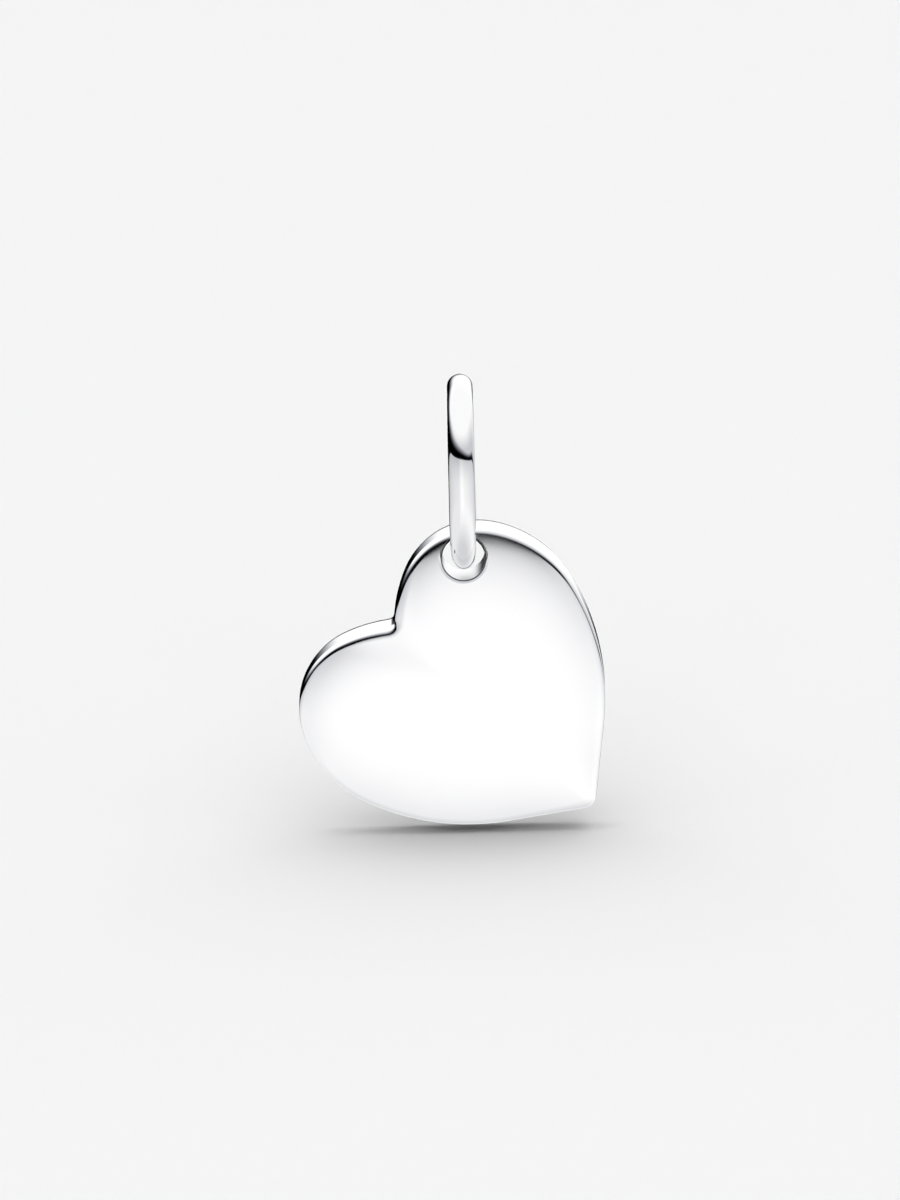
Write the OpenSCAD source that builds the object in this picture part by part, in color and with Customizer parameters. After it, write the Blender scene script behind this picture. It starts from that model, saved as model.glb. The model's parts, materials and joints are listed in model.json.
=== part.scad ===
// Heart dangle charm in polished silver.
// A thick heart with a gently domed face hangs free on a closed oval bail.
// Millimetres, +Z up, the domed face towards -Y.
// The origin is the inside top of the bail, where a bracelet or a chain carries the charm.

/* [Heart outline] */
// Radius of the small inside corner between the two lobes
notch_r = 0.25; // [0.15:0.05:0.4]
// Angle that the inside corner turns through on each side, in degrees
notch_turn = 39; // [37:1:41]
// Radius of the short flank beside the notch
flank_r = 6; // [5:0.5:8]
// Angle of that flank, in degrees
flank_turn = 18; // [16:1:20]
// Radius of the top of each lobe
lobe_r = 3.1; // [3:0.05:3.3]
// Angle of the top of each lobe, in degrees
lobe_turn = 79; // [77:1:81]
// Radius of the shoulder, where the lobe turns into the long side
shoulder_r = 4.6; // [4.4:0.1:5]
// Angle of the shoulder, in degrees
shoulder_turn = 48; // [46:1:50]
// Radius of the long side
belly_r = 9.2; // [8.8:0.1:9.6]
// Angle of the long side, in degrees
belly_turn = 37; // [36:1:38]
// Radius of the rounded point
point_r = 0.55; // [0.4:0.05:0.8]

/* [Heart body] */
// Straight part of the side wall, between the rounded front edge and the back edge
wall_t = 1.55; // [1.3:0.05:1.7]
// Radius of the rounded front edge
front_edge_r = 0.17; // [0.1:0.01:0.25]
// Narrow bevel of the back edge
back_edge = 0.05; // [0.03:0.01:0.1]
// Rise of the domed face above its own edge
dome_h = 0.2; // [0.1:0.02:0.3]
// Distance from the edge in which the dome gains about two thirds of its rise
dome_reach = 1; // [0.6:0.05:1.2]

/* [Hole] */
// Diameter of the hole that the bail passes through
hole_d = 1.7; // [1.68:0.02:1.8]
// Width and depth of the bevel on both rims of the hole
rim = 0.12; // [0.06:0.02:0.14]
// Place of the hole along the heart's axis, from the notch towards the point
hole_along = 0.21; // [0.15:0.01:0.4]
// Place of the hole to the side of that axis
hole_across = 3.88; // [3.6:0.02:3.9]

/* [Bail] */
// Outer height of the bail
bail_h = 7.5; // [7.4:0.05:8]
// Outer depth of the bail, front to back
bail_w = 7.4; // [7.2:0.05:7.6]
// Squareness of the oval: 2 is an ellipse, more is squarer
bail_square = 3; // [2.8:0.1:3.2]
// Width of the wire at the top, seen from the front
wire_top = 0.92; // [0.84:0.02:0.96]
// Width of the wire at the bottom, seen from the front
wire_bottom = 0.97; // [0.96:0.01:1.06]
// Thickness of the wire between the inside and the outside of the loop
wire_deep = 0.98; // [0.85:0.01:1]
// The same thickness at the bottom, where the heart hangs
seat_deep = 1.26; // [1.1:0.02:1.28]
// Outer bottom of the bail below the centre of the hole
bail_drop = 0.525; // [0.51:0.005:0.56]

/* [Hidden] */

SILVER = [0.86, 0.86, 0.87];
BRIGHT_SILVER = [0.93, 0.93, 0.94];

// Columns of the table of arcs
RADIUS = 0;
TURN = 1;
STEPS = 2;

// Half of the outline, from the notch to the long side. A positive turn is hollow, a negative one full.
arcs = [
    [notch_r, notch_turn, 3],
    [flank_r, -flank_turn, 3],
    [lobe_r, -lobe_turn, 12],
    [shoulder_r, -shoulder_turn, 8],
    [belly_r, -belly_turn, 8]
];
straight_steps = 4;
point_steps = 5;

// An outline point is [along, across, heading]: along runs from the notch towards the point,
// across to the side, and the heading is 0 where the outline leaves the notch sideways.
ALONG = 0;
ACROSS = 1;
HEADING = 2;
notch_point = [0, 0, 0];

function after(p, arc, part) =
    let (
        side = sign(arc[TURN]),
        heading = p[HEADING] + arc[TURN] * part
    )
    [
        p[ALONG] + side * arc[RADIUS] * (cos(heading) - cos(p[HEADING])),
        p[ACROSS] + side * arc[RADIUS] * (sin(heading) - sin(p[HEADING])),
        heading
    ];

function walk(p, rows, i = 0) =
    i == len(rows) ? [] : concat(
        [for (k = [1:rows[i][STEPS]]) after(p, rows[i], k / rows[i][STEPS])],
        walk(after(p, rows[i], 1), rows, i + 1)
    );

// The straight stretch is as long as it takes to bring the rounded point onto the heart's axis.
round_half = walk(notch_point, arcs);
belly_end = round_half[len(round_half) - 1];
slope = -90 - belly_end[HEADING];
straight = (belly_end[ACROSS] - point_r * cos(slope)) / sin(slope);
straight_half = [
    for (k = [1:straight_steps])
        belly_end + straight * k / straight_steps * [cos(slope), -sin(slope), 0]
];
point_arc = [point_r, slope - 90, point_steps];
half = concat(
    [notch_point],
    round_half,
    straight_half,
    walk(straight_half[straight_steps - 1], [point_arc])
);

// The whole outline, and the direction that looks out of it at each of its points.
outline = concat(
    [for (p = half) [p[ALONG], p[ACROSS]]],
    [for (k = [len(half) - 2:-1:1]) [half[k][ALONG], -half[k][ACROSS]]]
);
outward = concat(
    [for (p = half) -[cos(p[HEADING]), sin(p[HEADING])]],
    [for (k = [len(half) - 2:-1:1]) [-cos(half[k][HEADING]), sin(half[k][HEADING])]]
);
outline_points = len(outline);

// Balance of the drilled heart. It turns on the hole until its centre lies straight below.
function crossing(i) =
    let (p = outline[i], q = outline[(i + 1) % outline_points])
    p[0] * q[1] - p[1] * q[0];
function total(list, i = 0) = i == len(list) ? 0 * list[0] : list[i] + total(list, i + 1);
area = abs(total([for (i = [0:outline_points - 1]) crossing(i)])) / 2;
moment = abs(total([
    for (i = [0:outline_points - 1])
        crossing(i) * (outline[i][0] + outline[(i + 1) % outline_points][0])
])) / 6;
hole = [hole_along, hole_across];
hole_area = PI * pow(hole_d / 2, 2);
middle = [moment / area, 0];
balance = (area * middle - hole_area * hole) / (area - hole_area);
tilt = atan2(balance[0] - hole[0], hole[1] - balance[1]);

// Levels of the heart through its thickness, from the back at the negative side to the front.
edge_t = back_edge + wall_t + front_edge_r;
back_level = -edge_t / 2;
wall_back = back_level + back_edge;
wall_front = wall_back + wall_t;
edge_slope = atan(dome_h / dome_reach);
edge_steps = 4;
edge_end = 90 - edge_slope;
face_inset = front_edge_r * (1 - cos(edge_end));
face_level = wall_front + front_edge_r * sin(edge_end);
face_rings = [0.975, 0.94, 0.9, 0.84, 0.76, 0.64, 0.48, 0.26];

function inset(i, d) = outline[i] - d * outward[i];
function level_ring(d, level) = [for (i = [0:outline_points - 1]) concat(inset(i, d), level)];

// The dome rises with the distance from the nearest stretch of the outline.
function gap(p, a, b) =
    let (run = b - a, part = max(0, min(1, (p - a) * run / (run * run))))
    norm(p - a - part * run);
function nearest(p) = min([
    for (i = [0:outline_points - 1]) gap(p, outline[i], outline[(i + 1) % outline_points])
]);
function rise(p) = dome_h * (1 - exp(min(0, face_inset - nearest(p)) / dome_reach));
// The rings of the dome draw in towards the middle.
function dome_ring(share) = [
    for (i = [0:outline_points - 1])
        let (p = middle + share * (inset(i, face_inset) - middle))
        concat(p, face_level + rise(p))
];
heart_rings = concat(
    [level_ring(back_edge, back_level), level_ring(0, wall_back)],
    [
        for (k = [0:edge_steps])
            let (turn = edge_end * k / edge_steps)
            level_ring(front_edge_r * (1 - cos(turn)), wall_front + front_edge_r * sin(turn))
    ],
    [for (share = face_rings) dome_ring(share)]
);

// Skin over a stack of equal rings. Two caps close a stack, or the last ring joins the first.
function between(n, low, high) = [
    for (i = [0:n - 1], half_quad = [0, 1])
        let (j = (i + 1) % n)
        half_quad == 0
            ? [low * n + i, low * n + j, high * n + j]
            : [low * n + i, high * n + j, high * n + i]
];
function bands(n, count) = [for (k = [0:count - 2], f = between(n, k, k + 1)) f];

// The loop of the bail, measured from its centre. Round angle 0 is the back, 90 the top.
bail_steps = 72;
wire_sides = 20;
top_deep = wire_deep;
loop_h = (bail_h - (top_deep + seat_deep) / 2) / 2;
loop_w = (bail_w - wire_deep) / 2;
loop_centre = top_deep / 2 - loop_h;
taper_power = 2.5;
seat_power = 4;

function loop(angle) =
    let (
        reach = pow(
            pow(abs(cos(angle)) / loop_w, bail_square) + pow(abs(sin(angle)) / loop_h, bail_square),
            -1 / bail_square
        )
    )
    reach * [cos(angle), sin(angle)];
function loop_out(angle) =
    let (step = 0.5, run = loop(angle + step) - loop(angle - step))
    [run[1], -run[0]] / norm(run);
function down(angle) = min(1, (1 - loop(angle)[1] / loop_h) / 2);
function wire_width(angle) =
    wire_bottom - (wire_bottom - wire_top) * pow(1 - down(angle), taper_power);
function wire_thickness(angle) =
    wire_deep + (seat_deep - wire_deep) * pow(down(angle), seat_power);
function wire_ring(angle) = [
    for (k = [0:wire_sides - 1])
        let (
            turn = 360 * k / wire_sides,
            at = loop(angle) + cos(turn) * wire_thickness(angle) / 2 * loop_out(angle)
        )
        [sin(turn) * wire_width(angle) / 2, at[0], at[1] + loop_centre]
];

// The hole's centre, on which the heart swings
hinge_z = top_deep - bail_h + bail_drop;

// The dome leans across the hole, and the front bevel leans with it.
hole_r = hole_d / 2;
clear = 0.5;
rise_along = [for (side = [-1, 1]) rise(hole + side * [hole_r, 0])];
rise_across = [for (side = [-1, 1]) rise(hole + side * [0, hole_r])];
front_rim = face_level + (rise_along[0] + rise_along[1] + rise_across[0] + rise_across[1]) / 4;
lean_along = (rise_along[1] - rise_along[0]) / hole_d;
lean_across = (rise_across[1] - rise_across[0]) / hole_d;

module heart_blank() {
    points = concat([for (ring = heart_rings, p = ring) p], [concat(middle, face_level + rise(middle))]);
    last = (len(heart_rings) - 1) * outline_points;
    peak = len(points) - 1;
    back_cap = [for (i = [outline_points - 1:-1:0]) i];
    front_cap = [
        for (i = [0:outline_points - 1]) [last + i, last + (i + 1) % outline_points, peak]
    ];
    polyhedron(points, concat([back_cap], bands(outline_points, len(heart_rings)), front_cap));
}

// A 45 degree cone that bevels the rim it stands on, wide side up. It starts well inside the hole.
module bevel() {
    translate([0, 0, -rim - clear])
        cylinder(h = rim + 2 * clear, r1 = hole_r - clear, r2 = hole_r + rim + clear, $fn = 96);
}

module hole_cut() {
    translate([hole_along, hole_across, 0]) {
        translate([0, 0, back_level - clear])
            cylinder(h = edge_t + dome_h + 2 * clear, r = hole_r, $fn = 96);
        translate([0, 0, front_rim])
            rotate(a = atan(norm([lean_along, lean_across])), v = [lean_across, -lean_along, 0])
                bevel();
        translate([0, 0, back_level])
            mirror([0, 0, 1])
                bevel();
    }
}

module heart() {
    color(BRIGHT_SILVER)
        translate([0, 0, hinge_z])
            rotate([0, tilt, 0])
                rotate([90, 0, 0])
                    translate([-hole_along, -hole_across, 0])
                        difference() {
                            heart_blank();
                            hole_cut();
                        }
}

module bail() {
    rings = [for (k = [0:bail_steps - 1]) wire_ring(360 * k / bail_steps)];
    points = [for (ring = rings, p = ring) p];
    color(SILVER)
        polyhedron(
            points,
            concat(bands(wire_sides, bail_steps), between(wire_sides, bail_steps - 1, 0))
        );
}

bail();
heart();
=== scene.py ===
import json
import math

import bmesh
import bpy
import numpy as np
from bpy.props import FloatProperty, FloatVectorProperty, IntProperty, PointerProperty, StringProperty
from mathutils import Matrix, Vector


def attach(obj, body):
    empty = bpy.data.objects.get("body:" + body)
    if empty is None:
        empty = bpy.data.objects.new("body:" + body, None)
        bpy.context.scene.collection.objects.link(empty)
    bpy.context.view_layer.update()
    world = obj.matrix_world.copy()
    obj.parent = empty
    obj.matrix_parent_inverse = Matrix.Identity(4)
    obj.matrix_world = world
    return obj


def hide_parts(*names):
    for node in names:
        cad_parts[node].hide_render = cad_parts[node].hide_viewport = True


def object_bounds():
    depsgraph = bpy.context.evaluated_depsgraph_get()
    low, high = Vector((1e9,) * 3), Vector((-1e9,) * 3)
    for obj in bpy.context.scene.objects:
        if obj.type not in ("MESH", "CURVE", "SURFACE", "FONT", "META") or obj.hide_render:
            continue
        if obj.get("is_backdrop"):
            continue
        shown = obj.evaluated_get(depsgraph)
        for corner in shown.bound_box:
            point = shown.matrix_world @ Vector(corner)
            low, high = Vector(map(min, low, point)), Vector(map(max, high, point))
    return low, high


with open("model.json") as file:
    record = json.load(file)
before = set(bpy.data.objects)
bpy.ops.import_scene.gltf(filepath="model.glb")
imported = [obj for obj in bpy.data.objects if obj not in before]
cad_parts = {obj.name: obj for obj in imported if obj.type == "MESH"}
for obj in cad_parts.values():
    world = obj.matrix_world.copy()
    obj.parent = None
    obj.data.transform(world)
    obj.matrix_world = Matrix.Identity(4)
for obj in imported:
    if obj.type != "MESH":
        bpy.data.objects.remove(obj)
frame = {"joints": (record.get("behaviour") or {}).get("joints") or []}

bl_info = {
    "name": "Heart dangle charm",
    "version": (1, 0, 0),
    "blender": (4, 5, 0),
    "location": "3D View > Sidebar > Charm",
    "description": "A polished silver heart that hangs free on its closed oval bail, with its studio",
    "category": "Object",
}

MM = 0.001
HINGE = Vector(frame["joints"][0]["pos_m"])
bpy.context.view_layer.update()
SAME_PLACE = 0.00001 * MM

# Places in the photograph, in its own pixels from its middle, and how large it shows the charm
PHOTO_HEIGHT_PX = 1200
HOLE_RIGHT_PX = 13.55
HOLE_UP_PX = 41.48
PX_PER_MM = 25.5


class HeartShape(bpy.types.PropertyGroup):
    """Sizes of the heart"""

    notch_radius: FloatProperty(
        name="Notch Radius", description="Radius of the inside corner between the lobes",
        default=0.25 * MM, unit="LENGTH")
    notch_turn: FloatProperty(
        name="Notch Turn", description="Angle of that corner on each side",
        default=math.radians(39), subtype="ANGLE")
    flank_radius: FloatProperty(
        name="Flank Radius", description="Radius of the short flank beside the notch",
        default=6 * MM, unit="LENGTH")
    flank_turn: FloatProperty(
        name="Flank Turn", description="Angle of that flank",
        default=math.radians(18), subtype="ANGLE")
    lobe_radius: FloatProperty(
        name="Lobe Radius", description="Radius of the top of each lobe",
        default=3.1 * MM, unit="LENGTH")
    lobe_turn: FloatProperty(
        name="Lobe Turn", description="Angle of the top of each lobe",
        default=math.radians(79), subtype="ANGLE")
    shoulder_radius: FloatProperty(
        name="Shoulder Radius", description="Radius where the lobe turns into the long side",
        default=4.6 * MM, unit="LENGTH")
    shoulder_turn: FloatProperty(
        name="Shoulder Turn", description="Angle of the shoulder",
        default=math.radians(48), subtype="ANGLE")
    belly_radius: FloatProperty(
        name="Belly Radius", description="Radius of the long side",
        default=9.2 * MM, unit="LENGTH")
    belly_turn: FloatProperty(
        name="Belly Turn", description="Angle of the long side",
        default=math.radians(37), subtype="ANGLE")
    point_radius: FloatProperty(
        name="Point Radius", description="Radius of the rounded point",
        default=0.55 * MM, unit="LENGTH")
    edge_thickness: FloatProperty(
        name="Edge Thickness", description="Thickness of the heart at its edge",
        default=1.77 * MM, unit="LENGTH")
    edge_radius: FloatProperty(
        name="Edge Radius", description="Tight radius between the side wall and the face",
        default=0.2 * MM, unit="LENGTH")
    ease_radius: FloatProperty(
        name="Ease Radius", description="Wider radius that eases the tight one into the dome",
        default=1 * MM, unit="LENGTH")
    ease_slope: FloatProperty(
        name="Ease Slope", description="Slope of the face where the wider radius begins",
        default=math.radians(20), subtype="ANGLE")
    taper_start: FloatProperty(
        name="Taper Start", description="Angle of the slight taper of the wall where it begins",
        default=math.radians(8), subtype="ANGLE")
    taper_end: FloatProperty(
        name="Taper End", description="Angle of that taper at the edge of the back",
        default=math.radians(11), subtype="ANGLE")
    taper_radius: FloatProperty(
        name="Taper Radius", description="Radius of the taper between those angles",
        default=8 * MM, unit="LENGTH")
    back_radius: FloatProperty(
        name="Back Radius", description="Radius of the edge of the flat back",
        default=0.05 * MM, unit="LENGTH")
    face_slope: FloatProperty(
        name="Face Slope", description="Slope of the domed face at its edge",
        default=math.radians(12.5), subtype="ANGLE")
    notch_slope: FloatProperty(
        name="Notch Slope", description="Share of that slope that is left at the notch",
        default=0.25, min=0, max=1, subtype="FACTOR")
    point_slope: FloatProperty(
        name="Point Slope", description="Share of that slope that is left at the point",
        default=0.45, min=0, max=1, subtype="FACTOR")
    slope_reach: FloatProperty(
        name="Slope Reach", description="Distance from notch and point at which the slope is whole again",
        default=3.5 * MM, unit="LENGTH")
    dome_reach: FloatProperty(
        name="Dome Reach", description="Distance in which that slope fades to a third",
        default=1.3 * MM, unit="LENGTH")
    hole_radius: FloatProperty(
        name="Hole Radius", description="Radius of the hole that the bail passes through",
        default=0.85 * MM, unit="LENGTH")
    hole_along: FloatProperty(
        name="Hole Along", description="Place of the hole along the axis, from the notch to the point",
        default=0.21 * MM, unit="LENGTH")
    hole_across: FloatProperty(
        name="Hole Across", description="Place of the hole to the side of that axis",
        default=3.88 * MM, unit="LENGTH")
    rim: FloatProperty(
        name="Rim", description="Width and depth of the bevel on both rims of the hole",
        default=0.12 * MM, unit="LENGTH")
    columns: IntProperty(
        name="Columns", description="Points round the outline", default=440, min=64)
    dome_rows: IntProperty(
        name="Dome Rows", description="Rings of points across the domed face", default=56, min=8)


class BailShape(bpy.types.PropertyGroup):
    """Sizes of the bail"""

    height: FloatProperty(
        name="Height", description="Outer height of the bail", default=7.36 * MM, unit="LENGTH")
    depth: FloatProperty(
        name="Depth", description="Outer depth, front to back", default=7.4 * MM, unit="LENGTH")
    squareness: FloatProperty(
        name="Squareness", description="2 is an ellipse, more is squarer", default=3.0, min=2)
    wire_top: FloatProperty(
        name="Wire Top", description="Width of the wire at the top, seen from the front",
        default=1.0 * MM, unit="LENGTH")
    wire_bottom: FloatProperty(
        name="Wire Bottom", description="Width of the wire at the bottom, seen from the front",
        default=1.06 * MM, unit="LENGTH")
    wire_deep: FloatProperty(
        name="Wire Deep", description="Thickness between the inside and the outside of the loop",
        default=0.98 * MM, unit="LENGTH")
    seat_deep: FloatProperty(
        name="Seat Deep", description="The same thickness at the bottom, where the heart hangs",
        default=1.12 * MM, unit="LENGTH")
    seat_narrow: FloatProperty(
        name="Seat Narrow", description="Share of its width that the wire loses there",
        default=0.18, min=0, max=1, subtype="FACTOR")
    columns: IntProperty(
        name="Columns", description="Points round the loop", default=288, min=32)
    sides: IntProperty(
        name="Sides", description="Points round the wire", default=56, min=12)


class SilverFinish(bpy.types.PropertyGroup):
    """Look of the silver"""

    heart_colour: StringProperty(
        name="Heart Silver", description="sRGB colour of the heart's silver, as hex", default="FAFAFB")
    bail_colour: StringProperty(
        name="Bail Silver", description="sRGB colour of the bail's silver, as hex", default="F0F0F1")
    bail_roughness: FloatProperty(
        name="Bail Roughness", description="Roughness of the mirror-polished bail",
        default=0.04, min=0, max=1, subtype="FACTOR")
    edge_roughness: FloatProperty(
        name="Edge Roughness", description="Roughness of the heart's mirror-polished edge",
        default=0.05, min=0, max=1, subtype="FACTOR")
    heart_roughness: FloatProperty(
        name="Heart Roughness", description="Roughness of the tumbled and buffed heart",
        default=0.18, min=0, max=1, subtype="FACTOR")
    back_roughness: FloatProperty(
        name="Back Roughness", description="Roughness of the heart's satin back",
        default=0.5, min=0, max=1, subtype="FACTOR")
    wall_roughness: FloatProperty(
        name="Wall Roughness", description="Roughness of the wall of the drilled hole",
        default=0.25, min=0, max=1, subtype="FACTOR")
    # The thin dark line at the hole's edge is painted shade: a dark colour standing in for the dark
    # reflection of that edge.
    line_width: FloatProperty(
        name="Line Width", description="Width of the thin dark line of painted_shade at the hole's edge",
        default=0.045 * MM, unit="LENGTH")
    shade_line_colour: StringProperty(
        name="Line Colour", description="sRGB colour of that line, as hex", default="505054")
    haze: FloatProperty(
        name="Haze", description="How much more the roughness grows in patches of buffing haze",
        default=0.01, min=0, max=1, subtype="FACTOR")
    haze_size: FloatProperty(
        name="Haze Size", description="Size of those patches", default=1.5 * MM, unit="LENGTH")
    line_spacing: FloatProperty(
        name="Line Spacing", description="Spacing of the fine lines that the buffing wheel leaves",
        default=0.06 * MM, unit="LENGTH")
    line_depth: FloatProperty(
        name="Line Depth", description="Depth of those lines", default=0.00002 * MM, unit="LENGTH")


class Studio(bpy.types.PropertyGroup):
    """Camera, floor and light"""

    azimuth: FloatProperty(
        name="Azimuth", description="How far the camera stands to the side",
        default=0, subtype="ANGLE")
    elevation: FloatProperty(
        name="Elevation", description="How far the camera stands above the horizon",
        default=math.radians(14), subtype="ANGLE")
    roll: FloatProperty(
        name="Roll", description="How far the picture leans to the left",
        default=math.radians(1.3), subtype="ANGLE")
    distance: FloatProperty(
        name="Distance", description="Distance of the camera", default=1.2, unit="LENGTH")
    frame_height: FloatProperty(
        name="Frame Height", description="Height of the picture at the charm",
        default=PHOTO_HEIGHT_PX / PX_PER_MM * MM, unit="LENGTH")
    hole_right: FloatProperty(
        name="Hole Right", description="How far right of the picture's centre the hole's front lies",
        default=HOLE_RIGHT_PX / PX_PER_MM * MM, unit="LENGTH")
    hole_up: FloatProperty(
        name="Hole Up", description="How far above the picture's centre the hole's front lies",
        default=HOLE_UP_PX / PX_PER_MM * MM, unit="LENGTH")
    floor_colour: StringProperty(
        name="Floor", description="sRGB colour of the pale floor, as hex", default="F5F5F5")
    floor_size: FloatProperty(
        name="Floor Size", description="Side of the square floor", default=6.0, unit="LENGTH")
    floor_gap: FloatProperty(
        name="Floor Gap", description="How far the charm hangs above the floor",
        default=0.35 * MM, unit="LENGTH")
    top_size: FloatVectorProperty(
        name="Top Light Size", description="Width and depth of the softbox overhead",
        default=(3.0, 2.2), size=2, unit="LENGTH")
    top_place: FloatVectorProperty(
        name="Top Light Place", description="Place of that light, from the floor under the charm",
        default=(0, 0.1, 2.0), size=3, unit="LENGTH")
    top_power: FloatProperty(
        name="Top Light Power", description="Power of that light", default=15.0, unit="POWER")
    front_size: FloatVectorProperty(
        name="Front Light Size", description="Width and height of the softbox in front",
        default=(2.67, 1.34), size=2, unit="LENGTH")
    front_place: FloatVectorProperty(
        name="Front Light Place", description="Place of that softbox, from the floor under the charm",
        default=(0, -3.0, 1.59), size=3, unit="LENGTH")
    front_power: FloatProperty(
        name="Front Light Power", description="Power of that softbox", default=26.0, unit="POWER")
    back_size: FloatVectorProperty(
        name="Back Light Size", description="Width and height of the softbox behind",
        default=(6.0, 1.0), size=2, unit="LENGTH")
    back_place: FloatVectorProperty(
        name="Back Light Place", description="Place of that softbox, from the floor under the charm",
        default=(0, 2.91, 1.06), size=3, unit="LENGTH")
    back_power: FloatProperty(
        name="Back Light Power", description="Power of that softbox", default=22.7, unit="POWER")
    fill_size: FloatVectorProperty(
        name="Fill Light Size", description="Width and depth of the white ceiling that fills the shadow",
        default=(9.0, 9.0), size=2, unit="LENGTH")
    fill_place: FloatVectorProperty(
        name="Fill Light Place", description="Place of that ceiling, from the floor under the charm",
        default=(0, 0.001, 2.0), size=3, unit="LENGTH")
    fill_power: FloatProperty(
        name="Fill Light Power", description="Power of that ceiling", default=202.1, unit="POWER")
    gap_lean: FloatVectorProperty(
        name="Gap Lean", description="Slope of the dark gap to the right and to the back",
        default=(0.035, 0.144), size=2)
    gap_drop: FloatProperty(
        name="Gap Drop", description="How far the gap lies below the horizon", default=0.044)
    gap_fade: FloatVectorProperty(
        name="Gap Fade", description="Where the tent begins to show above the gap, and where it is bright",
        default=(0.085, 0.30), size=2)
    gap_back: FloatVectorProperty(
        name="Gap Back",
        description="How much further the gap reaches down behind, and how much less up at the right",
        default=(0.2, 1.1), size=2)
    gap_narrow: FloatProperty(
        name="Gap Narrow", description="How much narrower the fade is at the right, and wider at the left",
        default=0.65)
    gap_colour: StringProperty(
        name="Gap Colour", description="sRGB tint of the fade, as hex", default="E4E6F4")
    tent_low: FloatProperty(
        name="Tent Low", description="Brightness of the tent just over the gap", default=0.70)
    tent_high: FloatProperty(
        name="Tent High", description="Brightness of the tent overhead", default=1.1)
    table_white: FloatProperty(
        name="Table White", description="Brightest part of the table", default=1.15)
    table_peak: FloatProperty(
        name="Table Peak", description="Height of that part, below the gap", default=-0.34)
    table_edge: FloatProperty(
        name="Table Edge", description="Brightness of the table's edge at the gap", default=0.76)
    table_sides: FloatVectorProperty(
        name="Table Sides",
        description="Share of the table's brightness that is left at the left and the right",
        default=(0.82, 0.93), size=2)
    table_floor: FloatProperty(
        name="Table Floor", description="Brightness of the table straight below", default=0.78)


PROPERTY_GROUPS = {
    "charm_heart": HeartShape,
    "charm_bail": BailShape,
    "charm_silver": SilverFinish,
    "charm_studio": Studio,
}


def linear(hex_colour):
    """Linear colour with alpha of an sRGB hex value."""
    shares = [int(hex_colour[i:i + 2], 16) / 255 for i in (0, 2, 4)]
    return [s / 12.92 if s <= 0.04045 else ((s + 0.055) / 1.055) ** 2.4 for s in shares] + [1.0]


def add_node(tree, kind, links=(), **settings):
    """Adds a node. Each link is (own input, other node's output). Settings go to the node or its inputs."""
    made = tree.nodes.new(kind)
    for key, value in settings.items():
        if hasattr(made, key):
            setattr(made, key, value)
        else:
            made.inputs[key.replace("_", " ")].default_value = value
    for socket, source in links:
        tree.links.new(source, made.inputs[socket])
    return made


def close_seams():
    """Merges the points of the active mesh that share a place, and turns its faces outward."""
    bpy.ops.object.mode_set(mode="EDIT")
    bpy.ops.mesh.select_all(action="SELECT")
    bpy.ops.mesh.remove_doubles(threshold=SAME_PLACE)
    bpy.ops.mesh.normals_make_consistent(inside=False)
    bpy.ops.object.mode_set(mode="OBJECT")


def wrapped_sheet(name, columns, rows, closed, place):
    """A grid rolled into a skin: each point goes to the place of its row and column, and the seams close."""
    bpy.ops.object.select_all(action="DESELECT")
    bpy.ops.mesh.primitive_grid_add(x_subdivisions=columns, y_subdivisions=rows, size=2)
    piece = bpy.context.object
    piece.name = piece.data.name = name
    flat = np.empty(len(piece.data.vertices) * 3)
    piece.data.vertices.foreach_get("co", flat)
    flat = flat.reshape(-1, 3)
    column = np.rint((flat[:, 0] + 1) / 2 * columns).astype(int) % columns
    row = np.rint((flat[:, 1] + 1) / 2 * rows).astype(int)
    if closed:
        row %= rows
    piece.data.vertices.foreach_set("co", place[row, column].ravel())
    close_seams()
    bpy.ops.object.shade_smooth()
    return piece


def heart_outline(shape):
    """Points of the closed outline, evenly spaced, as (along, across) from the notch."""
    steps = 400
    finer = 8
    blend = 0.08 * MM
    arcs = [
        (shape.notch_radius, shape.notch_turn),
        (shape.flank_radius, -shape.flank_turn),
        (shape.lobe_radius, -shape.lobe_turn),
        (shape.shoulder_radius, -shape.shoulder_turn),
        (shape.belly_radius, -shape.belly_turn),
    ]
    path = [np.zeros((1, 2))]
    heading = 0.0

    def add_arc(radius, turn):
        nonlocal heading
        side = math.copysign(1, turn)
        way = heading + turn * np.arange(1, steps + 1) / steps
        run = np.stack([np.cos(way) - math.cos(heading), np.sin(way) - math.sin(heading)], 1)
        path.append(path[-1][-1] + side * radius * run)
        heading += turn

    for radius, turn in arcs:
        add_arc(radius, turn)
    slope = -math.pi / 2 - heading
    straight = (path[-1][-1][1] - shape.point_radius * math.cos(slope)) / math.sin(slope)
    run = np.linspace(0, straight, steps + 1)[1:, None]
    path.append(path[-1][-1] + run * np.array([math.cos(slope), -math.sin(slope)]))
    add_arc(shape.point_radius, slope - math.pi / 2)
    half = np.concatenate(path)
    loop = np.concatenate([half, half[-2:0:-1] * [1, -1], half[:1]])
    length = np.concatenate([[0], np.cumsum(np.linalg.norm(np.diff(loop, axis=0), axis=1))])
    even = np.linspace(0, length[-1], shape.columns * finer + 1)[:-1]
    fine = np.stack([np.interp(even, length, loop[:, k]) for k in (0, 1)], 1)
    return soften(fine, blend / (length[-1] / len(even)))[::finer]


def soften(loop, spread):
    """Rounds off the jumps of curvature between the arcs, over a spread given in points."""
    spreads_out = 4
    reach = int(spreads_out * spread)
    weights = np.exp(-0.5 * (np.arange(-reach, reach + 1) / spread) ** 2)
    weights /= weights.sum()
    return sum(w * np.roll(loop, k, axis=0) for k, w in zip(range(-reach, reach + 1), weights))


def outward(loop):
    """Unit direction out of a closed loop at each of its points."""
    run = np.roll(loop, -1, axis=0) - np.roll(loop, 1, axis=0)
    out = np.stack([-run[:, 1], run[:, 0]], 1) / np.linalg.norm(run, axis=1)[:, None]
    middle = loop.mean(axis=0)
    return out if ((loop - middle) * out).sum() > 0 else -out


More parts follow.
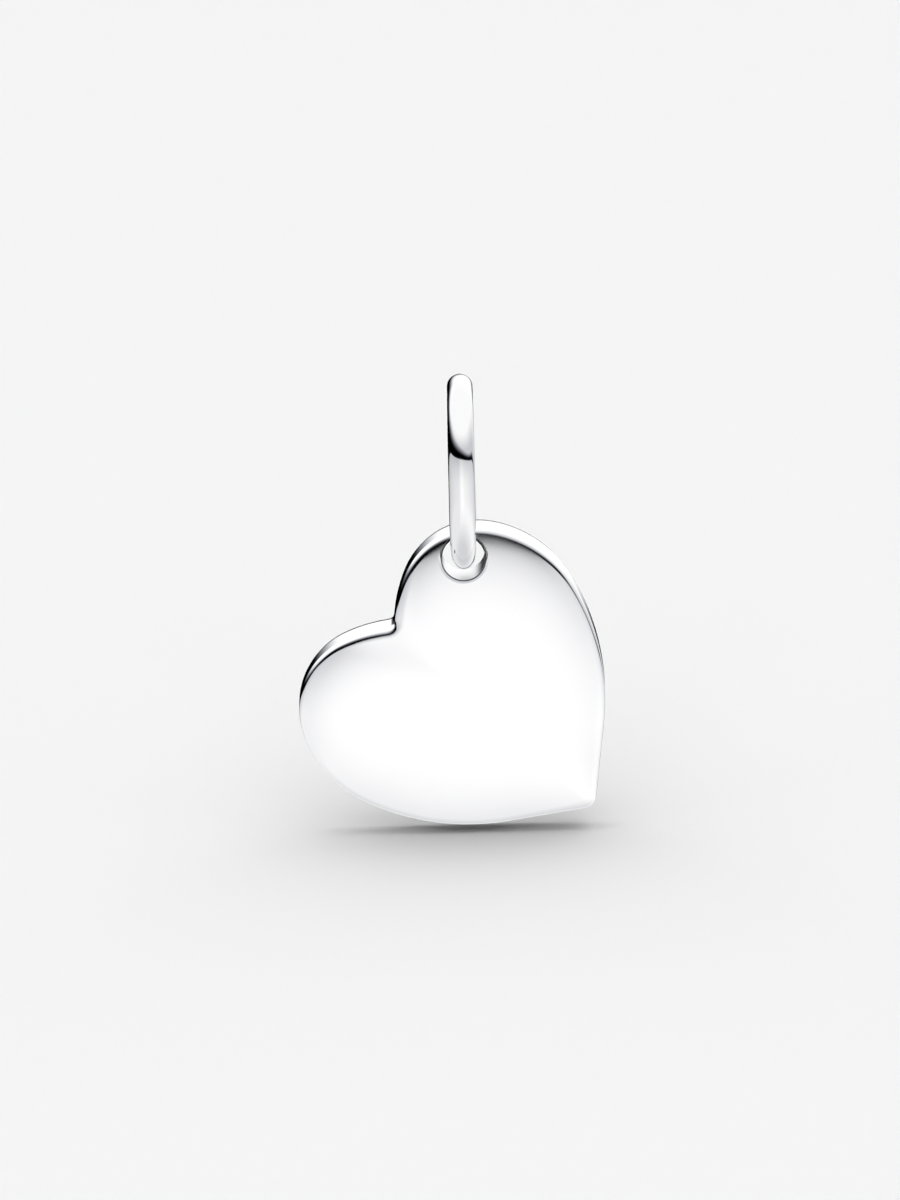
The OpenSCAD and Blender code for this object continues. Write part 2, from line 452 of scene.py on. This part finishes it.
def centre_and_area(loop):
    """Centre and area of the figure inside a closed loop."""
    after = np.roll(loop, -1, axis=0)
    cross = loop[:, 0] * after[:, 1] - after[:, 0] * loop[:, 1]
    area = cross.sum() / 2
    return ((loop + after) * cross[:, None]).sum(axis=0) / (6 * area), abs(area)


def heart_turn(shape, loop):
    """Angle at which the drilled heart hangs in balance from its hole."""
    middle, area = centre_and_area(loop)
    hole = np.array([shape.hole_along, shape.hole_across])
    drilled = math.pi * shape.hole_radius ** 2
    balance = (area * middle - drilled * hole) / (area - drilled)
    return math.atan2(balance[0] - hole[0], hole[1] - balance[1])


def dome_sag(points, slope, reach):
    """How far a skin sags towards its rim, row 0, where it has the given slope that fades over the reach."""
    step_in = np.linalg.norm(points[1:] - points[:-1], axis=2)
    step_round = np.linalg.norm(np.roll(points, -1, axis=1) - points, axis=2)
    width_in = np.zeros(points.shape[:2])
    width_in[:-1] += step_in / 2
    width_in[1:] += step_in / 2
    width_round = (step_round + np.roll(step_round, 1, axis=1)) / 2
    hold_in = (width_round[1:] + width_round[:-1]) / 2 / step_in
    hold_round = (width_in + np.roll(width_in, -1, axis=1)) / 2 / step_round
    pull = width_in * width_round / reach ** 2

    def strain(sag):
        flow_in = hold_in * (sag[1:] - sag[:-1])
        flow_round = hold_round * (np.roll(sag, -1, axis=1) - sag)
        out = pull * sag - flow_round + np.roll(flow_round, 1, axis=1)
        out[:-1] -= flow_in
        out[1:] += flow_in
        return out

    # Conjugate gradients, with each step eased by how firmly its own point is held
    settled = 1e-16
    ease = pull + hold_round + np.roll(hold_round, 1, axis=1)
    ease[:-1] += hold_in
    ease[1:] += hold_in
    sag = np.zeros(points.shape[:2])
    rest = np.zeros(points.shape[:2])
    rest[0] = slope * width_round[0]
    way = rest / ease
    power = (rest * way).sum()
    start = power
    while power > settled * start:
        turn = strain(way)
        size = power / (way * turn).sum()
        sag += size * way
        rest -= size * turn
        lighter = rest / ease
        fresh = (rest * lighter).sum()
        way = lighter + fresh / power * way
        power = fresh
    return sag


def arc_rows(inset, level, radius, start, end, steps):
    """Rows (inset, level) on an arc whose surface slope falls from start to end, as seen from the face."""
    slopes = [start + (end - start) * k / steps for k in range(1, steps + 1)]
    return [
        (inset + radius * (np.sin(start) - np.sin(s)), level + radius * (np.cos(s) - np.cos(start)))
        for s in slopes
    ]


def heart_skin(shape, loop):
    """All rows of the heart's skin, from the middle of the back to the middle of the face."""
    edge_steps, ease_steps = 12, 5
    bend_steps, taper_steps, corner_steps = 3, 4, 6
    wall_rows, back_rows = 8, 11
    dome_crowding, back_crowding = 1.4, 1.5

    out = outward(loop)
    middle, _ = centre_and_area(loop)
    upright = math.pi / 2
    half = shape.edge_thickness / 2
    eased = shape.ease_slope
    slope = shape.face_slope
    for corner, left in ((loop[0], shape.notch_slope), (loop[len(loop) // 2], shape.point_slope)):
        away = np.clip(np.linalg.norm(loop - corner, axis=1) / shape.slope_reach, 0, 1)
        slope = slope * (1 - (1 - left) * (1 - away) ** 2 * (1 + 2 * away))
    front = [(0.0, 0.0)]
    front += arc_rows(0.0, 0.0, shape.edge_radius, upright, eased, edge_steps)
    front += arc_rows(*front[-1], shape.ease_radius, eased, slope, ease_steps)
    wall_front = half - front[-1][1].mean()
    begun, ended = upright - shape.taper_start, upright - shape.taper_end
    back = arc_rows(0.0, 0.0, shape.ease_radius, upright, begun, bend_steps)
    back += arc_rows(*back[-1], shape.taper_radius, begun, ended, taper_steps)
    back += arc_rows(*back[-1], shape.back_radius, ended, 0, corner_steps)
    wall_back = back[-1][1] - half

    def inner(inset):
        return loop - np.broadcast_to(inset, len(loop))[:, None] * out

    def shrunk(inset, shares):
        return np.stack([middle + share * (inner(inset) - middle) for share in shares])

    def ring(inset, level):
        return np.concatenate([inner(inset), np.broadcast_to(level, len(loop))[:, None]], axis=1)

    shares = 1 - np.linspace(0, 1, shape.dome_rows + 1)[:-1] ** dome_crowding
    dome = shrunk(front[-1][0], shares)
    sag = dome_sag(dome, np.tan(slope), shape.dome_reach)
    rise = sag[0].mean() - sag
    lift = rise[0] + front[-1][1].mean() - front[-1][1]

    back_shares = 1 - np.linspace(0, 1, back_rows + 1)[::-1][:-1] ** back_crowding
    back_rings = shrunk(back[-1][0], back_shares)
    rows = [np.concatenate([r, np.full((len(loop), 1), -half)], axis=1) for r in back_rings]
    rows += [ring(inset, wall_back - level) for inset, level in reversed(back)]
    rows += [
        ring(0.0, wall_back + part * (wall_front + lift - wall_back))
        for part in np.linspace(0, 1, wall_rows + 1)
    ]
    rows += [ring(inset, wall_front + lift + level) for inset, level in front[1:]]
    rows += [np.concatenate([r, half + h[:, None]], axis=1) for r, h in zip(dome[1:], rise[1:])]
    rows += [np.tile(np.append(middle, half + rise[-1].mean()), (len(loop), 1))]
    return np.stack(rows), dome, rise


def face_at(shape, dome, rise):
    """Level of the domed face round the hole's rim, and the direction that looks out of it there."""
    hole = np.array([shape.hole_along, shape.hole_across])
    points = dome.reshape(-1, 2) - hole
    near = np.linalg.norm(points, axis=1) < shape.hole_radius + 2 * shape.rim
    near &= np.linalg.norm(points, axis=1) > shape.hole_radius
    table = np.column_stack([np.ones(near.sum()), points[near]])
    fit = np.linalg.lstsq(table, rise.reshape(-1)[near], rcond=None)[0]
    return shape.edge_thickness / 2 + fit[0], Vector((-fit[1], -fit[2], 1)).normalized()


def hole_cutter(shape, level, lean):
    """A drill with a wide 45 degree flare at both ends, the front one square to the face."""
    sides = 160
    spare = 0.4 * MM
    half = shape.edge_thickness / 2
    bpy.ops.object.select_all(action="DESELECT")
    bpy.ops.mesh.primitive_cylinder_add(vertices=sides, radius=shape.hole_radius, depth=1)
    drill = bpy.context.object
    edit = bmesh.new()
    edit.from_mesh(drill.data)
    square = Vector((0, 0, 1)).rotation_difference(lean).to_matrix()
    for point in edit.verts:
        flat = Vector((point.co.x, point.co.y, 0))
        if point.co.z > 0:
            depth = level - shape.rim - (lean.x * flat.x + lean.y * flat.y) / lean.z
            point.co = flat + Vector((0, 0, depth))
        else:
            point.co = flat + Vector((0, 0, shape.rim - half))
    ends = [f for f in edit.faces if len(f.verts) > 4]
    for end in ends:
        front = end.calc_center_median().z > 0
        grown = bmesh.ops.extrude_discrete_faces(edit, faces=[end])["faces"][0]
        for point in grown.verts:
            flat = Vector((point.co.x, point.co.y, 0)).normalized()
            up = square @ Vector((0, 0, 1)) if front else Vector((0, 0, -1))
            point.co += (flat + up) * (shape.rim + spare)
    edit.to_mesh(drill.data)
    edit.free()
    drill.location = (shape.hole_along, shape.hole_across, 0)
    bpy.ops.object.transform_apply(location=True)
    close_seams()
    return drill


def silver(name, finish, colour, roughness, edge_roughness, hole_radius=0):
    """Sterling silver, cast and buffed: a bright neutral mirror, softened by buffing haze and hair lines."""
    face_tilt, edge_tilt = math.radians(11), math.radians(14)
    satin_from, satin_whole = 0.98, 0.995  # how squarely the surface looks to the back
    patch_from, patch_whole = 0.35, 0.7  # values of the noise
    line_turn, line_stretch = math.radians(35), 0.04

    material = bpy.data.materials.new(name)
    material.use_nodes = True
    tree = material.node_tree
    shader = tree.nodes["Principled BSDF"]
    shader.inputs["Base Color"].default_value = linear(colour)
    shader.inputs["Metallic"].default_value = 1.0
    place = add_node(tree, "ShaderNodeTexCoord")
    facing = add_node(tree, "ShaderNodeSeparateXYZ", [("Vector", place.outputs["Normal"])])
    buffed = add_node(
        tree, "ShaderNodeMapRange", [("Value", facing.outputs["Y"])],
        From_Min=-math.cos(edge_tilt), From_Max=-math.cos(face_tilt),
        To_Min=edge_roughness, To_Max=roughness)
    patches = add_node(
        tree, "ShaderNodeTexNoise", [("Vector", place.outputs["Object"])],
        Scale=1 / finish.haze_size, Detail=3.0)
    spread = add_node(
        tree, "ShaderNodeMapRange", [("Value", patches.outputs["Fac"])],
        From_Min=patch_from, From_Max=patch_whole, To_Min=0, To_Max=finish.haze)
    total = add_node(
        tree, "ShaderNodeMath", [(0, buffed.outputs["Result"]), (1, spread.outputs["Result"])])
    tree.links.new(total.outputs["Value"], shader.inputs["Roughness"])
    if hole_radius:
        back = add_node(
            tree, "ShaderNodeMapRange", [("Value", facing.outputs["Y"])],
            From_Min=satin_from, From_Max=satin_whole)
        satin = add_node(
            tree, "ShaderNodeMix", [("Factor", back.outputs["Result"]), ("A", total.outputs["Value"])],
            B=finish.back_roughness)
        drilled_hole(tree, finish, colour, hole_radius, place.outputs["Object"], satin.outputs["Result"])
    stretch = add_node(
        tree, "ShaderNodeMapping", [("Vector", place.outputs["Object"])],
        Rotation=(0, line_turn, 0), Scale=(line_stretch, 1, 1))
    lines = add_node(
        tree, "ShaderNodeTexNoise", [("Vector", stretch.outputs["Vector"])],
        Scale=1 / finish.line_spacing, Detail=2.0)
    bump = add_node(
        tree, "ShaderNodeBump", [("Height", lines.outputs["Fac"])],
        Strength=1.0, Distance=finish.line_depth)
    tree.links.new(bump.outputs["Normal"], shader.inputs["Normal"])
    return material


def drilled_hole(tree, finish, colour, radius, place, roughness):
    """The drilled wall, which no buff reaches, and a thin dark line painted as shade at its edge, in place
    of the dark reflection there.
    """
    blur, past_wall = 0.003 * MM, 0.005 * MM

    shader = tree.nodes["Principled BSDF"]
    axis = add_node(tree, "ShaderNodeVectorMath", [(0, place)], operation="SUBTRACT")
    axis.inputs[1].default_value = HINGE
    flat = add_node(tree, "ShaderNodeVectorMath", [(0, axis.outputs["Vector"])], operation="MULTIPLY")
    flat.inputs[1].default_value = (1, 0, 1)
    away = add_node(tree, "ShaderNodeVectorMath", [(0, flat.outputs["Vector"])], operation="LENGTH")

    def inside(limit):
        made = add_node(
            tree, "ShaderNodeMapRange", [("Value", away.outputs["Value"])],
            From_Min=limit - blur, From_Max=limit + blur, To_Min=1, To_Max=0)
        return made.outputs["Result"]

    wall = inside(radius + past_wall)
    # Painted shade: a thin dark ring of colour at the hole's edge, in place of the edge's dark reflection.
    line = add_node(
        tree, "ShaderNodeMath", [(0, inside(radius + finish.line_width)), (1, wall)], operation="SUBTRACT")
    tone = add_node(
        tree, "ShaderNodeMix", [("Factor", line.outputs["Value"])], data_type="RGBA",
        A=linear(colour), B=linear(finish.shade_line_colour))
    tree.links.new(tone.outputs["Result"], shader.inputs["Base Color"])
    rough = add_node(tree, "ShaderNodeMix", [("Factor", wall), ("A", roughness)], B=finish.wall_roughness)
    tree.links.new(rough.outputs["Result"], shader.inputs["Roughness"])


class CHARM_OT_heart(bpy.types.Operator):
    """Model the heart and drill its hole"""

    bl_idname = "charm.heart"
    bl_label = "Heart"

    def execute(self, context):
        shape = context.scene.charm_heart
        finish = context.scene.charm_silver
        loop = heart_outline(shape)
        skin, dome, rise = heart_skin(shape, loop)
        piece = wrapped_sheet("heart_polished", shape.columns, len(skin) - 1, False, skin)
        drill = hole_cutter(shape, *face_at(shape, dome, rise))
        bpy.ops.object.select_all(action="DESELECT")
        context.view_layer.objects.active = piece
        piece.select_set(True)
        cut = piece.modifiers.new("hole", "BOOLEAN")
        cut.operation = "DIFFERENCE"
        cut.solver = "EXACT"
        cut.object = drill
        bpy.ops.object.modifier_apply(modifier=cut.name)
        bpy.data.objects.remove(drill)
        hang = (
            Matrix.Translation(HINGE)
            @ Matrix.Rotation(heart_turn(shape, loop), 4, "Y")
            @ Matrix.Rotation(math.pi / 2, 4, "X")
            @ Matrix.Translation((-shape.hole_along, -shape.hole_across, 0))
        )
        piece.data.transform(hang)
        bpy.ops.object.shade_smooth_by_angle(angle=math.radians(30))
        piece.data.materials.clear()
        piece.data.materials.append(silver(
            "buffed sterling silver", finish, finish.heart_colour, finish.heart_roughness,
            finish.edge_roughness, shape.hole_radius))
        piece.visible_diffuse = False  # keeps the silver's glints off the floor
        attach(piece, "heart")
        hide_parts("heart")
        return {"FINISHED"}


class CHARM_OT_bail(bpy.types.Operator):
    """Model the closed oval bail"""

    bl_idname = "charm.bail"
    bl_label = "Bail"

    def execute(self, context):
        shape = context.scene.charm_bail
        finish = context.scene.charm_silver
        half_height = (shape.height - (shape.wire_deep + shape.seat_deep) / 2) / 2
        half_depth = (shape.depth - shape.wire_deep) / 2
        centre = shape.wire_deep / 2 - half_height

        def loop(angle):
            power = shape.squareness
            reach = (
                np.abs(np.cos(angle) / half_depth) ** power + np.abs(np.sin(angle) / half_height) ** power
            ) ** (-1 / power)
            return np.stack([reach * np.cos(angle), reach * np.sin(angle)], axis=-1)

        angle = np.arange(shape.columns) / shape.columns * 2 * math.pi
        way = loop(angle)
        small = math.radians(0.5)
        run = loop(angle + small) - loop(angle - small)
        out = np.stack([run[:, 1], -run[:, 0]], 1) / np.linalg.norm(run, axis=1)[:, None]
        down = np.clip((1 - way[:, 1] / half_height) / 2, 0, 1)
        # The higher its power, the closer to the top or the bottom of the loop a change stays
        top_power, narrow_power, deep_power = 2.5, 8, 4
        width = shape.wire_bottom - (shape.wire_bottom - shape.wire_top) * (1 - down) ** top_power
        width *= 1 - shape.seat_narrow * down ** narrow_power
        thick = shape.wire_deep + (shape.seat_deep - shape.wire_deep) * down ** deep_power
        turn = (np.arange(shape.sides) / shape.sides * 2 * math.pi)[:, None]
        skin = np.stack([
            np.sin(turn) * width / 2,
            way[:, 0] + np.cos(turn) * thick / 2 * out[:, 0],
            way[:, 1] + np.cos(turn) * thick / 2 * out[:, 1] + centre,
        ], axis=-1)
        piece = wrapped_sheet("bail_polished", shape.columns, shape.sides, True, skin)
        piece.data.materials.append(silver(
            "mirror-polished sterling silver", finish, finish.bail_colour, finish.bail_roughness,
            finish.bail_roughness))
        piece.visible_diffuse = False  # keeps the silver's glints off the floor
        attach(piece, "bail")
        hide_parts("bail")
        return {"FINISHED"}


def tent_light(world, studio):
    """White tent over a white table, with a dark gap between them that dips away from the camera."""
    # Parts of a unit direction between which the light changes: up from the gap, to the sides and down
    back_rise = 0.5
    low_at, high_at = 0.2, 0.6
    side_from, side_whole = 0.1, 0.4
    floor_at = -0.9
    edge_dark, edge_lit = 0.004, -0.006

    world.use_nodes = True
    tree = world.node_tree
    tree.nodes.clear()

    def ramp(value, start, end, low, high, kind="LINEAR"):
        made = add_node(
            tree, "ShaderNodeMapRange", [("Value", value)], interpolation_type=kind,
            From_Min=start, From_Max=end, To_Min=low, To_Max=high)
        return made.outputs["Result"]

    def combine(operation, *sources):
        made = add_node(tree, "ShaderNodeMath", list(enumerate(sources)), operation=operation)
        return made.outputs["Value"]

    place = add_node(tree, "ShaderNodeTexCoord")
    split = add_node(tree, "ShaderNodeSeparateXYZ", [("Vector", place.outputs["Generated"])])
    lean = add_node(
        tree, "ShaderNodeVectorMath", [(0, place.outputs["Generated"])], operation="DOT_PRODUCT")
    lean.inputs[1].default_value = (*studio.gap_lean, 1)
    over = ramp(lean.outputs["Value"], -1, 1, studio.gap_drop - 1, studio.gap_drop + 1)
    to_right = ramp(split.outputs["X"], 0, 1, 0, 1)
    to_back = ramp(split.outputs["Y"], 0, 1, 0, 1)
    behind = combine("MULTIPLY", to_back, to_back)

    spread = ramp(split.outputs["X"], -1, 1, 1 + studio.gap_narrow, 1 - studio.gap_narrow)
    right_back = combine("MULTIPLY", to_right, ramp(behind, 0, 1, 0, studio.gap_back[1]))
    above = combine("ADD", combine("DIVIDE", over, spread), right_back)
    fade = ramp(above, *studio.gap_fade, 0, 1, "SMOOTHSTEP")
    height = combine("ADD", over, ramp(behind, 0, 1, 0, back_rise))
    tent = combine("MULTIPLY", fade, ramp(height, low_at, high_at, studio.tent_low, studio.tent_high))

    under = combine("ADD", over, ramp(behind, 0, 1, 0, studio.gap_back[0]))
    sides = combine(
        "MULTIPLY", ramp(split.outputs["X"], -side_whole, -side_from, studio.table_sides[0], 1),
        ramp(split.outputs["X"], side_from, side_whole, 1, studio.table_sides[1]))
    brighter = ramp(under, studio.table_peak, 0, studio.table_white, studio.table_edge)
    near = combine("MULTIPLY", brighter, sides)
    far = ramp(under, floor_at, studio.table_peak, studio.table_floor, studio.table_white)
    shown = ramp(under, edge_lit, edge_dark, 1, 0, "SMOOTHSTEP")
    table = combine("MULTIPLY", combine("MINIMUM", near, far), shown)
    light = combine("ADD", tent, table)
    tint = add_node(
        tree, "ShaderNodeMix", [("Factor", light)], data_type="RGBA",
        A=linear(studio.gap_colour), B=(1, 1, 1, 1))

    seen = add_node(tree, "ShaderNodeLightPath")
    shine = add_node(
        tree, "ShaderNodeBackground", [("Strength", light), ("Color", tint.outputs["Result"])])
    plain = add_node(tree, "ShaderNodeBackground", Color=linear(studio.floor_colour))
    chosen = add_node(
        tree, "ShaderNodeMixShader", [
            (0, seen.outputs["Is Camera Ray"]),
            (1, shine.outputs["Background"]),
            (2, plain.outputs["Background"]),
        ])
    add_node(tree, "ShaderNodeOutputWorld", [("Surface", chosen.outputs["Shader"])])
    world.cycles_visibility.diffuse = False  # only the softboxes light the floor


def floor_paint():
    """Matt white card, which lets a view from below through."""
    white = 0.85  # share of the light that the card sends back
    material = bpy.data.materials.new("matt white card")
    material.use_nodes = True
    tree = material.node_tree
    tree.nodes.clear()
    card = add_node(tree, "ShaderNodeBsdfDiffuse", Color=(white, white, white, 1))
    clear = add_node(tree, "ShaderNodeBsdfTransparent")
    side = add_node(tree, "ShaderNodeNewGeometry")
    chosen = add_node(
        tree, "ShaderNodeMixShader",
        [(0, side.outputs["Backfacing"]), (1, card.outputs["BSDF"]), (2, clear.outputs["BSDF"])])
    add_node(tree, "ShaderNodeOutputMaterial", [("Surface", chosen.outputs["Shader"])])
    return material


def softbox(name, ground, place, size, power):
    """Flat softbox that faces the charm and lights the floor alone."""
    bpy.ops.object.light_add(type="AREA", location=ground + Vector(place))
    light = bpy.context.object
    light.name = name
    light.data.shape = "RECTANGLE"
    light.data.size, light.data.size_y = size
    light.data.energy = power
    light.rotation_euler = Vector(place).to_track_quat("Z", "Y").to_euler()
    # With this on, the floor would see the light through the silver and lose its shadow
    light.data.cycles.use_multiple_importance_sampling = False
    light.visible_glossy = False
    light.visible_camera = False


class CHARM_OT_studio(bpy.types.Operator):
    """Set up the pale floor, the soft light and the camera"""

    bl_idname = "charm.studio"
    bl_label = "Studio"

    def execute(self, context):
        sensor = 36  # mm, along the taller side of the picture
        far_end = 20
        scene = context.scene
        studio = scene.charm_studio
        scene.view_settings.view_transform = "Standard"
        bpy.ops.object.select_all(action="DESELECT")
        ground = Vector((0, 0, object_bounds()[0].z - studio.floor_gap))
        bpy.ops.mesh.primitive_plane_add(size=studio.floor_size, location=ground)
        floor = context.object
        floor.name = "floor"
        bpy.ops.object.transform_apply(location=True)
        floor.data.materials.append(floor_paint())
        floor.visible_glossy = False
        floor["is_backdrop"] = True
        softbox("top softbox", ground, studio.top_place, studio.top_size, studio.top_power)
        softbox("front softbox", ground, studio.front_place, studio.front_size, studio.front_power)
        softbox("back softbox", ground, studio.back_place, studio.back_size, studio.back_power)
        softbox("white ceiling", ground, studio.fill_place, studio.fill_size, studio.fill_power)

        world = bpy.data.worlds.new("tent")
        scene.world = world
        tent_light(world, studio)

        a, e = studio.azimuth, studio.elevation
        back = Vector((math.sin(a) * math.cos(e), -math.cos(a) * math.cos(e), math.sin(e)))
        turn = back.to_track_quat("Z", "Y").to_matrix() @ Matrix.Rotation(-studio.roll, 3, "Z")
        right, over = turn.col[0], turn.col[1]
        front = HINGE - Vector((0, scene.charm_heart.edge_thickness / 2, 0))
        aim = front - studio.hole_right * right - studio.hole_up * over
        bpy.ops.object.camera_add(location=aim + studio.distance * back)
        camera = context.object
        camera.name = "camera"
        camera.rotation_euler = turn.to_euler()
        camera.data.sensor_width = sensor
        camera.data.lens = sensor * studio.distance / studio.frame_height
        camera.data.clip_end = far_end
        scene.camera = camera
        return {"FINISHED"}


class CHARM_PT_panel(bpy.types.Panel):
    """Pieces of the charm"""

    bl_idname = "CHARM_PT_panel"
    bl_label = "Heart dangle charm"
    bl_space_type = "VIEW_3D"
    bl_region_type = "UI"
    bl_category = "Charm"

    def draw(self, context):
        for operator in OPERATORS:
            self.layout.operator(operator.bl_idname)
        for name, group in PROPERTY_GROUPS.items():
            box = self.layout.box()
            for key in group.__annotations__:
                box.prop(getattr(context.scene, name), key)


OPERATORS = (CHARM_OT_heart, CHARM_OT_bail, CHARM_OT_studio)
CLASSES = (*PROPERTY_GROUPS.values(), *OPERATORS, CHARM_PT_panel)


def register():
    for item in CLASSES:
        bpy.utils.register_class(item)
    for name, group in PROPERTY_GROUPS.items():
        setattr(bpy.types.Scene, name, PointerProperty(type=group))


def unregister():
    for name in PROPERTY_GROUPS:
        delattr(bpy.types.Scene, name)
    for item in reversed(CLASSES):
        bpy.utils.unregister_class(item)


def main():
    register()
    bpy.ops.charm.heart()
    bpy.ops.charm.bail()
    bpy.ops.charm.studio()


if __name__ == "__main__":
    main()
